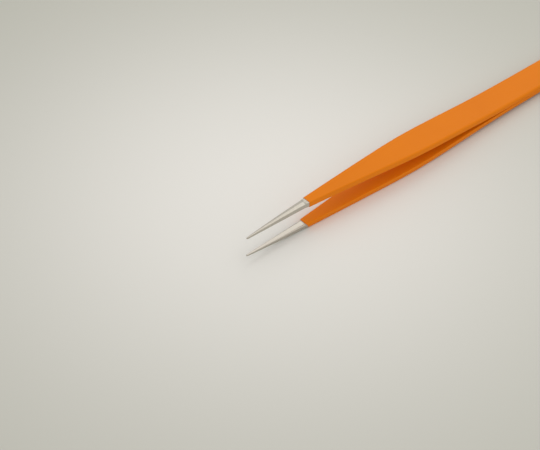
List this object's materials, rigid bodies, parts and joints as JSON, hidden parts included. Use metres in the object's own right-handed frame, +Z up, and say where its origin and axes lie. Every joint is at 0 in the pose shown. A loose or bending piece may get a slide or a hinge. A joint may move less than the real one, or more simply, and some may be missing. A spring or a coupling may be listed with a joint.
{
  "type": "tweezers",
  "caption": "Fine-point tweezers with slim orange epoxy-coated arms joined at the butt and bare ground steel points.",
  "frame": {"origin": "centre of the bounding box, on the surface that the tweezers lie on", "axes": "+X along the length from the points to the butt, +Y across the arms, +Z up, with the arms one above the other"},
  "size_m": [0.14, 0.0096, 0.0099],
  "materials": {
    "ground_steel": "satin ground",
    "orange_epoxy": "satin baked epoxy"
  },
  "bodies": {
    "root": {"upper_blade": "ground_steel", "lower_blade": "ground_steel", "epoxy_coating": "orange_epoxy"}
  },
  "joints": []
}
